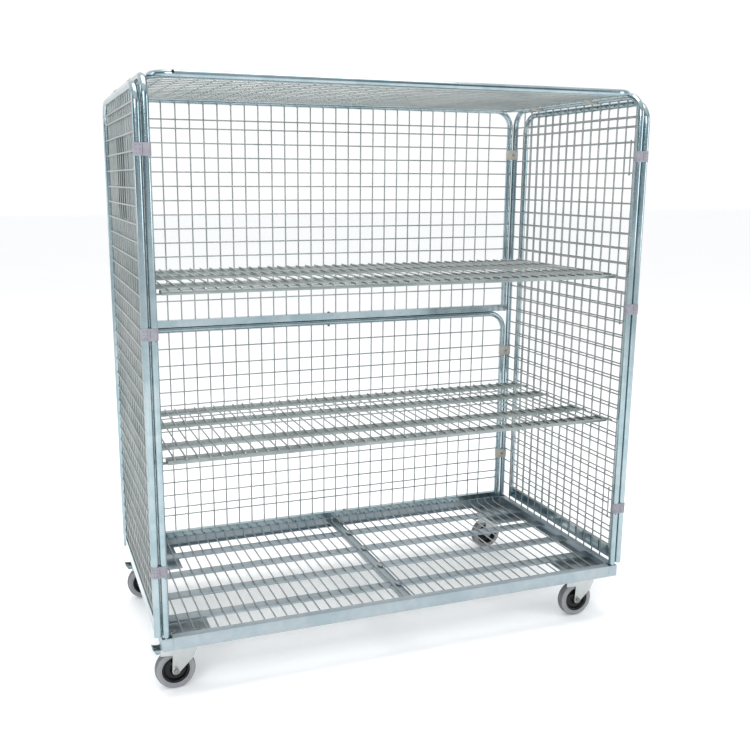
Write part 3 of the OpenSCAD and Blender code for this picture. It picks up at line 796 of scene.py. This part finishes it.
@dataclass
class Base(Assembly):
    """The wheeled base: rails, sockets, slats and the deck wires with their bent rear ends."""

    fillet: float = 1.1 * MM
    thin_fillet: float = 0.77 * MM
    sheet_nodes: tuple[str, ...] = (
        "front_rail",
        "rear_rail",
        "left_end_rail",
        "right_end_rail",
        "corner_sockets",
        "centre_channel",
        "deck_slats",
        "castor_mounting_plates",
    )
    thin_nodes: tuple[str, ...] = ("centre_channel", "deck_slats")
    bend_run: float = 16 * MM
    bend_steps: int = 8
    rise_clear: float = 0.4 * MM
    wire_sides: int = 14
    lap: float = 13 * MM
    lap_inset: float = 2 * MM
    lap_straight: float = 0.55
    lap_steps: int = 8
    lap_thick: float = 1.8 * MM
    lap_lift: float = 0.1 * MM
    lap_fillet: float = 0.5 * MM
    tack: Triple = (4.5 * MM, 3.0 * MM, 1.3 * MM)
    tack_inset: float = 2 * MM
    tack_spread: float = 0.7
    seam_beads: int = 14
    seam_bead: Triple = (1.5 * MM, 1.5 * MM, 0.75 * MM)
    seam_growth: Span = (0.8, 1.15)
    seam_start: float = 2 * MM
    seam_run: float = 22 * MM

    def build(self) -> None:
        """Shapes and dresses the base."""
        for node in self.sheet_nodes:
            width = self.thin_fillet if node in self.thin_nodes else self.fillet
            self.filleted(node, CAGE, Finish.SHEET, width)
        self._deck_wires()
        self._slat_tongues()
        self._seam_welds()

    def _deck_wires(self) -> None:
        """Deck wires that step up over the rear rail's flange."""
        shell = Shell("deck_wires_bent")
        rail_low, rail_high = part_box("rear_rail")
        foot_low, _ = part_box("rear_lower_frame")
        for wire in self.wires("deck_wires"):
            x, _, low_z = wire.start
            top_z = rail_high.z + wire.radius
            bend_y = rail_low.y - self.bend_run - wire.radius
            path = [wire.start]
            for step in range(self.bend_steps + 1):
                share = step / self.bend_steps
                ease = share * share * (3 - 2 * share)
                path.append(Vector((x, bend_y + self.bend_run * share, low_z + (top_z - low_z) * ease)))
            path.append(Vector((x, foot_low.y - self.rise_clear, top_z)))
            shell.sweep(path, wire.radius, self.wire_sides)
        shell.piece(Finish.WIRE, CAGE, "deck_wires")

    def _slat_tongues(self) -> None:
        """The rounded slat ends that lap into the centre channel, with their tack welds."""
        shell = Shell("slat_end_laps")
        tacks = Shell("slat_tack_welds")
        channel_low, channel_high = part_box("centre_channel")
        for low, high in self.islands("deck_slats"):
            left = high.x < (channel_low.x + channel_high.x) / 2
            edge = high.x if left else low.x
            towards = 1 if left else -1
            middle_y = (low.y + high.y) / 2
            half = (high.y - low.y) / 2 - self.lap_inset
            outline = [(edge, middle_y - half), (edge, middle_y + half)]
            for t in arc(math.pi, self.lap_steps):
                reach = self.lap_straight + (1 - self.lap_straight) * math.sin(t)
                outline.append((edge + towards * self.lap * reach, middle_y + half * math.cos(t)))
            top = high.z + self.lap_lift
            shell.prism(outline, Axis.Z, top - self.lap_thick, top)
            for side in (-1, 1):
                y = middle_y + side * half * self.tack_spread
                tacks.pillow(Vector((edge + towards * self.tack_inset, y, top)), self.tack, sides=10)
        shell.soften(self.lap_fillet)
        shell.piece(Finish.SHEET, CAGE)
        tacks.piece(Finish.FASTENER, CAGE)

    def _seam_welds(self) -> None:
        """Weld beads between the sockets and the rails, along the top."""
        rng = random.Random(SEED + 1)
        shell = Shell("socket_seam_welds")
        _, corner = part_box("corner_sockets")
        _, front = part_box("front_rail")
        _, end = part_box("left_end_rail")
        for sx in (-1, 1):
            for sy in (-1, 1):
                for k in range(self.seam_beads):
                    along = self.seam_start + self.seam_run * (k + 0.5) / self.seam_beads
                    grow = rng.uniform(*self.seam_growth)
                    on_front = Vector((sx * front.x, sy * (corner.y - along), front.z))
                    shell.pillow(on_front, self.seam_bead, grow)
                    on_end = Vector((sx * (corner.x - along), sy * end.y, end.z))
                    shell.pillow(on_end, self.seam_bead, grow)
        shell.piece(Finish.SHEET, CAGE)


@dataclass
class Tubework(Assembly):
    """The bent tube frames, their meshes and a near-black cup as the painted shade of the small hole in the
    roof's front tube.
    """

    frames: tuple[str, ...] = (
        "left_hoop",
        "right_hoop",
        "rear_upper_frame",
        "rear_lower_frame",
        "roof_frame",
        "left_door_frame",
        "right_door_frame",
    )
    meshes: tuple[tuple[str, str], ...] = (
        ("left_side_mesh", CAGE),
        ("right_side_mesh", CAGE),
        ("rear_upper_mesh", CAGE),
        ("rear_lower_mesh", CAGE),
        ("roof_mesh", CAGE),
        ("left_door_mesh", "left_door"),
        ("right_door_mesh", "right_door"),
    )
    hole_inset: float = 49 * MM
    hole_lift: float = 0.45
    hole_radius: float = 3.2 * MM
    hole_depths: Outline = ((1.6, 0.2), (1.0, 0.9), (0.1, 1.0), (0.2, 1.3), (1.8, 1.3))

    def build(self) -> None:
        """Dresses the frames, welds the meshes and adds the hole's painted shade."""
        for node in self.frames:
            self.dress(node, Finish.TUBE)
        for node, body in self.meshes:
            self.dress(node, Finish.WIRE)
            WeldedMesh(self.frame, node, body).build()
        self._roof_hole()

    def _roof_hole(self) -> None:
        """A near-black rimmed cup near the left end of the roof's front tube: painted shade inside its
        drain hole.
        """
        low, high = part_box("roof_frame")
        radius = (high.z - low.z) / 2
        x = low.x + radius + self.hole_inset
        centre = Vector((x, low.y, (low.z + high.z) / 2 + radius * self.hole_lift))
        rim = Shell("roof_tube_hole_painted_shade")
        loop = [(deep * MM, self.hole_radius * share) for deep, share in self.hole_depths]
        rim.lathe(centre, Axis.Y, loop, sides=24)
        # Near-black wheel-centre plastic: painted shade inside the hole.
        rim.piece(Finish.CENTRE, CAGE)


@dataclass
class Clips(Assembly):
    """Plastic clips round the tubes, the painted shade of their dimples and groove, their lugs and screws.
    """

    fillet: float = 0.9 * MM
    dimple: Triple = (1.5 * MM, 0.45 * MM, 1.5 * MM)
    dimple_sink: float = 0.1 * MM
    columns: tuple[float, ...] = (0.16, 0.34)
    rows: tuple[float, ...] = (0.2, 0.5, 0.8)
    groove: Span = (0.7 * MM, 0.3 * MM)
    groove_reach: float = 0.46
    waist: float = 0.6 * MM
    lug_inset: float = 9 * MM
    lug_depth: float = 3.2 * MM
    lug_outline: Outline = ((-6, 0.4), (-6, 2.0), (-5.4, 2.6), (0.6, 2.6), (0.6, 0.4))
    screw_base: float = 2.6 * MM
    screw_wall: float = 1.6 * MM
    screw_dome: float = 1.5 * MM
    screw_crown: float = 0.7
    screw_eye: float = 0.2 * MM
    slot_reach: float = 0.55
    slot_half: float = 0.5 * MM
    slot_span: Span = (-0.05 * MM, 1.0 * MM)

    def build(self) -> None:
        """Shapes the clips and adds their details."""
        for body, sign in (("left_hinge", -1), ("right_hinge", 1)):
            self.filleted(f"{body}_clips", body, Finish.LILAC, self.fillet)
            self._dimples(body, sign)
            self._lugs(body, sign)
        for node in ("rear_clips", "roof_clips"):
            self.filleted(node, CAGE, Finish.BEIGE, self.fillet)
        self._screws()

    def _dimples(self, body: str, sign: int) -> None:
        """Painted shade of the dimples and the waist groove on each hinge clip: two columns of near-black
        studs on its face and a near-black strip at its waist.

        Args:
            body: The hinge's body.
            sign: Which way is outwards along X.
        """
        shell = Shell(f"{body}_clips_painted_dimple_shade")
        for low, high in self.islands(f"{body}_clips"):
            size = high - low
            middle = (low + high) / 2
            bulge = size.y / 2
            for column in self.columns:
                x = (high.x if sign > 0 else low.x) - sign * size.x * column
                off = bulge - size.x * column
                y = middle.y - math.sqrt(max(bulge * bulge - off * off, 0.0))
                for row in self.rows:
                    spot = Vector((x, y + self.dimple_sink, low.z + size.z * row))
                    shell.pillow(spot, self.dimple, sides=10, rows=6)
            waist = Vector((middle.x, low.y + self.waist, middle.z))
            shell.pillow(waist, (*self.groove, size.z * self.groove_reach), rows=12)
        # Near-black finish: painted shade of the dimples and the groove.
        shell.piece(Finish.DIMPLE, body)

    def _lugs(self, body: str, sign: int) -> None:
        """A lug under the ring that each hinge clip has round the post.

        Args:
            body: The hinge's body.
            sign: Which way is outwards along X.
        """
        shell = Shell(f"{body}_clips_lugs")
        outline = [(along * MM, radius * MM) for along, radius in self.lug_outline]
        for low, high in self.islands(f"{body}_clips"):
            x = (low.x if sign > 0 else high.x) + sign * self.lug_inset
            shell.lathe(Vector((x, low.y + self.lug_depth, low.z)), Axis.Z, outline, sides=20)
        shell.piece(Finish.LILAC, body)

    def _screws(self) -> None:
        """Pan-head screws with a crossed slot, in place of the plain CAD heads."""
        shell = Shell("rear_clip_pan_screws")
        for low, high in self.islands("rear_clip_screws"):
            centre = (low + high) / 2
            radius = (high.x - low.x) / 2
            dome = [(self.screw_base, self.screw_eye), (self.screw_base, radius), (self.screw_wall, radius)]
            for t in arc(QUARTER_TURN, 5)[1:]:
                crown = radius * math.cos(t) ** self.screw_crown + self.screw_eye
                dome.append((self.screw_wall - self.screw_dome * math.sin(t), crown))
            shell.lathe(Vector((centre.x, low.y, centre.z)), Axis.Y, dome, sides=28)
            start, end = (low.y + place for place in self.slot_span)
            long, short = radius * self.slot_reach, self.slot_half
            for half_x, half_z in ((short, long), (long, short)):
                left, right = centre.x - half_x, centre.x + half_x
                foot, head = centre.z - half_z, centre.z + half_z
                outline = [(foot, left), (foot, right), (head, right), (head, left)]
                shell.prism(outline, Axis.Y, start, end)
        shell.piece(Finish.FASTENER, CAGE, "rear_clip_screws")


@dataclass
class Shelves(Assembly):
    """The two lift-out shelves."""

    fillet: float = 0.6 * MM
    growth: Span = (0.85, 1.15)
    front_weld: Triple = (3.1 * MM, 2.6 * MM, 3.0 * MM)
    front_inset: float = 1.6 * MM
    slat_weld: Triple = (3.6 * MM, 4.6 * MM, 0.9 * MM)

    def build(self) -> None:
        """Shapes the slats, dresses the wires and adds their welds."""
        for level in ("upper", "lower"):
            self.filleted(f"{level}_shelf_slats", f"{level}_shelf", Finish.SHELF, self.fillet)
            self.dress(f"{level}_shelf_wires", Finish.WIRE)
            self._welds(level)

    def _welds(self, level: str) -> None:
        """A squashed spot at each wire's front end, and one on each slat it crosses.

        Args:
            level: Which shelf, upper or lower.
        """
        rng = random.Random(SEED + 2)
        shell = Shell(f"{level}_shelf_welds")
        slats = self.islands(f"{level}_shelf_slats")
        for wire in (w for w in self.wires(f"{level}_shelf_wires") if w.axis is Axis.Y):
            grow = rng.uniform(*self.growth)
            front = wire.start + Vector((0, self.front_inset, 0))
            shell.pillow(front, self.front_weld, grow)
            for low, high in slats:
                spot = Vector((wire.start.x, (low.y + high.y) / 2, high.z))
                shell.pillow(spot, self.slat_weld, grow)
        shell.piece(Finish.WIRE, f"{level}_shelf")


@dataclass
class Castor(Assembly):
    """One swivelling castor."""

    name: str
    braked: bool
    fork_fillet: float = 0.7 * MM
    bolt_fillet: float = 0.8 * MM
    pedal_fillet: float = 0.5 * MM
    lathe_sides: int = 96
    shoulder: float = 7.5 * MM
    shoulder_steps: int = 8
    crown: float = 0.9 * MM
    groove_in: float = 13 * MM
    groove_out: float = 15.4 * MM
    groove_slope: float = 0.6 * MM
    groove_depth: float = 0.7 * MM
    bead_in: float = 0.4 * MM
    bead_clear: float = 0.1 * MM
    bore: float = 6.05 * MM
    boss: Outline = ((0.0, 12.6 * MM), (1.2 * MM, 13.8 * MM))
    web_foot: float = 15.2 * MM
    web: Outline = ((5.5 * MM, 19 * MM), (4.6 * MM, 24 * MM))
    lip: Outline = ((7.0 * MM, 7.6 * MM), (3.4 * MM, 6.2 * MM), (2.4 * MM, 4.8 * MM), (2.0 * MM, 0.0))
    lip_start: Span = (5.4 * MM, 11 * MM)
    washer: Outline = ((0.0, 7.0), (1.4, 7.0), (1.4, 11.4), (1.0, 12.0), (0.0, 12.0))
    head_length: float = 6 * MM
    race_bead: float = 1.3 * MM
    race_drop: float = 2.2 * MM
    race_sink: float = 0.2 * MM
    grips: int = 3
    grip_radius: float = 0.9 * MM
    grip_first: float = 0.2
    grip_pitch: float = 0.26
    grip_inset: Triple = (2.6 * MM, 3.0 * MM, 1.3 * MM)
    grip_run: Span = (8.2 * MM, 13.4 * MM)
    cheek_inset: float = 0.2 * MM
    cheek_thick: float = 1.8 * MM
    cheek_outline: Outline = (
        *((0.97, 0.02), (0.66, 0.10), (0.34, 0.28), (0.10, 0.55)),
        *((0.02, 0.98), (0.80, 0.98), (0.74, 0.50), (0.82, 0.20)),
    )

    def build(self) -> None:
        """Shapes the fork, wheel, axle and pedal."""
        turning = f"{self.name}_castor"
        self.filleted(f"{self.name}_fork", turning, Finish.CASTOR, self.fork_fillet)
        self.filleted(f"{self.name}_axle_bolt", turning, Finish.FASTENER, self.bolt_fillet)
        self._washers_and_race()
        self._tyre()
        self._wheel_centre()
        if self.braked:
            pedal = f"{self.name}_brake_pedal"
            self.filleted(pedal, f"{self.name}_pedal", Finish.PEDAL, self.pedal_fillet)
            self._pedal_grips()

    def _wheel(self) -> tuple[Vector, float, float]:
        """The wheel's middle, radius and half width."""
        low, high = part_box(f"{self.name}_tyre")
        return (low + high) / 2, (high.z - low.z) / 2, (high.y - low.y) / 2

    def _tyre(self) -> None:
        """Tyre with domed tread, rounded shoulders and a groove in each side."""
        centre, radius, half = self._wheel()
        _, rim_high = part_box(f"{self.name}_wheel_centre")
        flat = half - self.shoulder
        stretch = []
        for t in arc(QUARTER_TURN, self.shoulder_steps):
            out = radius - self.crown - self.shoulder + self.shoulder * math.cos(t)
            stretch.append((flat + self.shoulder * math.sin(t), out))
        floor = half - self.groove_depth
        stretch += [
            (half, radius - self.groove_in),
            (floor, radius - self.groove_in - self.groove_slope),
            (floor, radius - self.groove_out + self.groove_slope),
            (half, radius - self.groove_out),
            (half - self.bead_in, rim_high.z - centre.z + self.bead_clear),
        ]
        tread = []
        for k in range(1, self.shoulder_steps):
            place = 2 * k / self.shoulder_steps - 1
            tread.append((flat * place, radius - self.crown * place**2))
        shell = Shell(f"{self.name}_tyre_shaped")
        shell.lathe(centre, Axis.Y, both_sides(stretch, tread), self.lathe_sides)
        shell.piece(Finish.TYRE, f"{self.name}_wheel", f"{self.name}_tyre")

    def _wheel_centre(self) -> None:
        """Moulded centre: rim lip, smooth dished web and hub."""
        centre, _, half = self._wheel()
        low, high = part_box(f"{self.name}_wheel_centre")
        rim = (high.z - low.z) / 2
        hub_half = (high.y - low.y) / 2
        lip = [(half - inset, rim - drop) for inset, drop in self.lip]
        web_end = (self.lip_start[0], rim - self.lip_start[1])
        boss = [(hub_half - inset, radius) for inset, radius in self.boss]
        hub = [(hub_half, self.bore), *boss, (lip[0][0], self.web_foot)]
        stretch = [*reversed(lip), web_end, *reversed(self.web), *reversed(hub)]
        shell = Shell(f"{self.name}_wheel_centre_shaped")
        shell.lathe(centre, Axis.Y, both_sides(stretch), self.lathe_sides)
        shell.piece(Finish.CENTRE, f"{self.name}_wheel", f"{self.name}_wheel_centre", smooth=40)

    def _washers_and_race(self) -> None:
        """A washer under each axle head, and the bead round the swivel head."""
        low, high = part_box(f"{self.name}_axle_bolt")
        shell = Shell(f"{self.name}_swivel_details")
        leg = (high.y - low.y) / 2 - self.head_length
        for side in (-1, 1):
            ring = [(side * (leg + out * MM), radius * MM) for out, radius in self.washer]
            shell.lathe((low + high) / 2, Axis.Y, ring, sides=36)
        fork_low, fork_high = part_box(f"{self.name}_fork")
        race = (fork_high.y - fork_low.y) / 2 - self.race_sink
        bead = self.race_bead
        turns = arc(FULL_TURN, 10)[:-1]
        loop = [(bead * math.sin(t) - self.race_drop, race + bead * math.cos(t)) for t in turns]
        joint = next(j for j in self.frame["joints"] if j["name"] == f"{self.name}_swivel")
        place = Vector((joint["pos_m"][0], (fork_low.y + fork_high.y) / 2, fork_high.z))
        shell.lathe(place, Axis.Z, loop, sides=64)
        shell.piece(Finish.CASTOR, f"{self.name}_castor")

    def _pedal_grips(self) -> None:
        """Raised grips across the pedal's tread, and the leaf-shaped cheeks that close its flanks."""
        low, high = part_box(f"{self.name}_brake_pedal")
        size = high - low
        shell = Shell(f"{self.name}_pedal_grips")
        inset = Vector(self.grip_inset)
        for k in range(self.grips):
            down = 1 - (self.grip_first + self.grip_pitch * k)
            x = low.x + inset.x + self.grip_run[0] * down
            z = high.z - inset.z - self.grip_run[1] * down
            path = [Vector((x, y, z)) for y in (low.y + inset.y, (low.y + high.y) / 2, high.y - inset.y)]
            shell.sweep(path, self.grip_radius, sides=10)
        outline = [(low.z + size.z * up, low.x + size.x * along) for up, along in self.cheek_outline]
        for start in (low.y + self.cheek_inset, high.y - self.cheek_inset - self.cheek_thick):
            shell.prism(outline, Axis.Y, start, start + self.cheek_thick)
        shell.piece(Finish.PEDAL, f"{self.name}_pedal")


@dataclass
class Fixings(Assembly):
    """Castor plates, plate bolts, kingpins and panel bolts."""

    fillets: tuple[tuple[str, Finish, float], ...] = (
        ("castor_top_plates", Finish.CASTOR, 0.6 * MM),
        ("castor_plate_bolts", Finish.FASTENER, 0.6 * MM),
        ("kingpins", Finish.FASTENER, 0.8 * MM),
        ("panel_bolts", Finish.FASTENER, 0.5 * MM),
    )

    def build(self) -> None:
        """Shapes and dresses the fixings."""
        for node, finish, width in self.fillets:
            self.filleted(node, CAGE, finish, width)


@dataclass
class DocumentPlate(Assembly):
    """The dark plate hung on the left side mesh, with a raised rim and a rivet at each corner."""

    fillet: float = 0.4 * MM
    inset: float = 5 * MM
    rim_radius: float = 1.6 * MM
    rivet: Triple = (1.8 * MM, 3.4 * MM, 3.4 * MM)

    def build(self) -> None:
        """Shapes the plate, its rim and its rivets."""
        self.filleted("document_plate", CAGE, Finish.PLATE, self.fillet)
        low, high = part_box("document_plate")
        near, far = low.y + self.inset, high.y - self.inset
        bottom, top = low.z + self.inset, high.z - self.inset
        places = ((near, bottom), (far, bottom), (far, top), (near, top))
        corners = [Vector((low.x, y, z)) for y, z in places]
        rim = Shell("document_plate_rim")
        for a, b in zip(corners, corners[1:] + corners[:1]):
            rim.sweep([a, (a + b) / 2, b], self.rim_radius, sides=10)
            rim.pillow(a, self.rivet, sides=14, rows=6)
        rim.piece(Finish.PLATE, CAGE)


# ---- studio


@dataclass(frozen=True)
class SoftBox:
    """One soft area light."""

    name: str
    place: Triple
    width: float
    height: float
    power: float
    tint: Colour = (1.0, 1.0, 1.0)
    aim: Triple = (0.0, 0.0, 0.9)

    def build(self) -> None:
        """Adds the light."""
        data = bpy.data.lights.new(self.name, "AREA")
        data.shape = "RECTANGLE"
        data.size = self.width
        data.size_y = self.height
        data.energy = self.power
        data.color = self.tint
        light = bpy.data.objects.new(self.name, data)
        light.location = self.place
        away = Vector(self.place) - Vector(self.aim)
        light.rotation_euler = away.to_track_quat("Z", "Y").to_euler()
        bpy.context.scene.collection.objects.link(light)


@dataclass
class Studio:
    """Camera, floor, soft lights and the pale surround."""

    camera_place: Triple = (-1.1605, -2.9616, 1.540)
    camera_pitch: float = 11.78
    camera_yaw: float = 20.36
    camera_roll: float = 0.22
    lens_mm: float = 44.157
    sensor_mm: float = 36.0
    shift: Span = (0.0331, -0.0031)
    far: float = 200.0
    floor_half: float = 40.0
    lights: tuple[SoftBox, ...] = (
        SoftBox("key_softbox", (-3.4, -4.4, 3.4), 2.2, 2.6, 125.0),
        SoftBox("fill_softbox", (4.4, -3.6, 2.4), 1.6, 3.0, 60.0, (0.93, 0.97, 1.0)),
        SoftBox("top_softbox", (0.0, 0.2, 5.6), 4.0, 3.0, 130.0),
        SoftBox("side_softbox", (-5.0, 1.2, 2.6), 1.2, 3.2, 30.0, (0.95, 0.98, 1.0)),
    )
    backdrop: Colour = (1.04, 1.04, 1.04)
    backdrop_edge: Span = (0.05, 0.40)
    backdrop_slant: float = 0.25
    room: Colour = (0.60, 0.65, 0.68)
    left_wall: Colour = (0.24, 0.29, 0.32)
    left_edge: Span = (0.6, 0.85)
    ceiling: Colour = (1.04, 1.05, 1.06)
    ceiling_edge: Span = (0.45, 0.8)
    flag: Colour = (0.19, 0.22, 0.24)
    flag_inner: Span = (0.25, 0.45)
    flag_outer: Span = (0.62, 0.85)

    def camera(self) -> None:
        """Makes the camera and its view."""
        data = bpy.data.cameras.new("camera")
        data.lens = self.lens_mm
        data.sensor_width = self.sensor_mm
        data.shift_x, data.shift_y = self.shift
        data.clip_end = self.far
        made = bpy.data.objects.new("camera", data)
        made.location = self.camera_place
        turn = Matrix.Rotation(math.radians(-self.camera_yaw), 4, "Z")
        tilt = Matrix.Rotation(math.radians(90 - self.camera_pitch), 4, "X")
        roll = Matrix.Rotation(math.radians(self.camera_roll), 4, "Z")
        made.rotation_euler = (turn @ tilt @ roll).to_euler()
        bpy.context.scene.collection.objects.link(made)
        bpy.context.scene.camera = made

    def build(self) -> None:
        """Adds floor, lights and surround."""
        size = self.floor_half
        mesh = bpy.data.meshes.new("floor")
        corners = [(-size, -size, 0), (size, -size, 0), (size, size, 0), (-size, size, 0)]
        mesh.from_pydata(corners, [], [(0, 1, 2, 3)])
        mesh.materials.append(StudioFloor("studio_floor").material())
        floor = bpy.data.objects.new("floor", mesh)
        bpy.context.scene.collection.objects.link(floor)
        for light in self.lights:
            light.build()
        self._world()

    def _world(self) -> None:
        """A white backdrop behind the cage and a grey room with dark flags before it."""
        world = bpy.data.worlds.new("surround")
        world.use_nodes = True
        bpy.context.scene.world = world
        g = Graph(world.node_tree)
        direction = g.node("ShaderNodeTexCoord", output="Generated")
        x, y, z = (direction.part(axis) for axis in Axis)
        sideways = abs(x)
        flags = sideways.ramp(*self.flag_inner) * (1 - sideways.ramp(*self.flag_outer))
        walls = g.mix((0 - x).ramp(*self.left_edge), self.room, self.left_wall)
        room = g.mix(flags, walls, self.flag)
        behind = (y + x * self.backdrop_slant).ramp(*self.backdrop_edge)
        around = g.mix(behind, room, self.backdrop)
        colour = g.mix(z.ramp(*self.ceiling_edge), around, self.ceiling)
        g.feed(world.node_tree.nodes["Background"].inputs["Color"], colour)
        bpy.context.scene.view_settings.view_transform = "Standard"


def main() -> None:
    """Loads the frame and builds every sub-assembly."""
    logging.basicConfig(level=logging.INFO, format="%(message)s")
    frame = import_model()
    studio = Studio()
    studio.camera()
    for assembly in (Base, Tubework, Clips, Shelves):
        assembly(frame).build()
    for end in ("front", "rear"):
        for side in ("left", "right"):
            Castor(frame, f"{end}_{side}", braked=side == "left").build()
    for assembly in (Fixings, DocumentPlate):
        assembly(frame).build()
    studio.build()


if __name__ == "__main__":
    main()
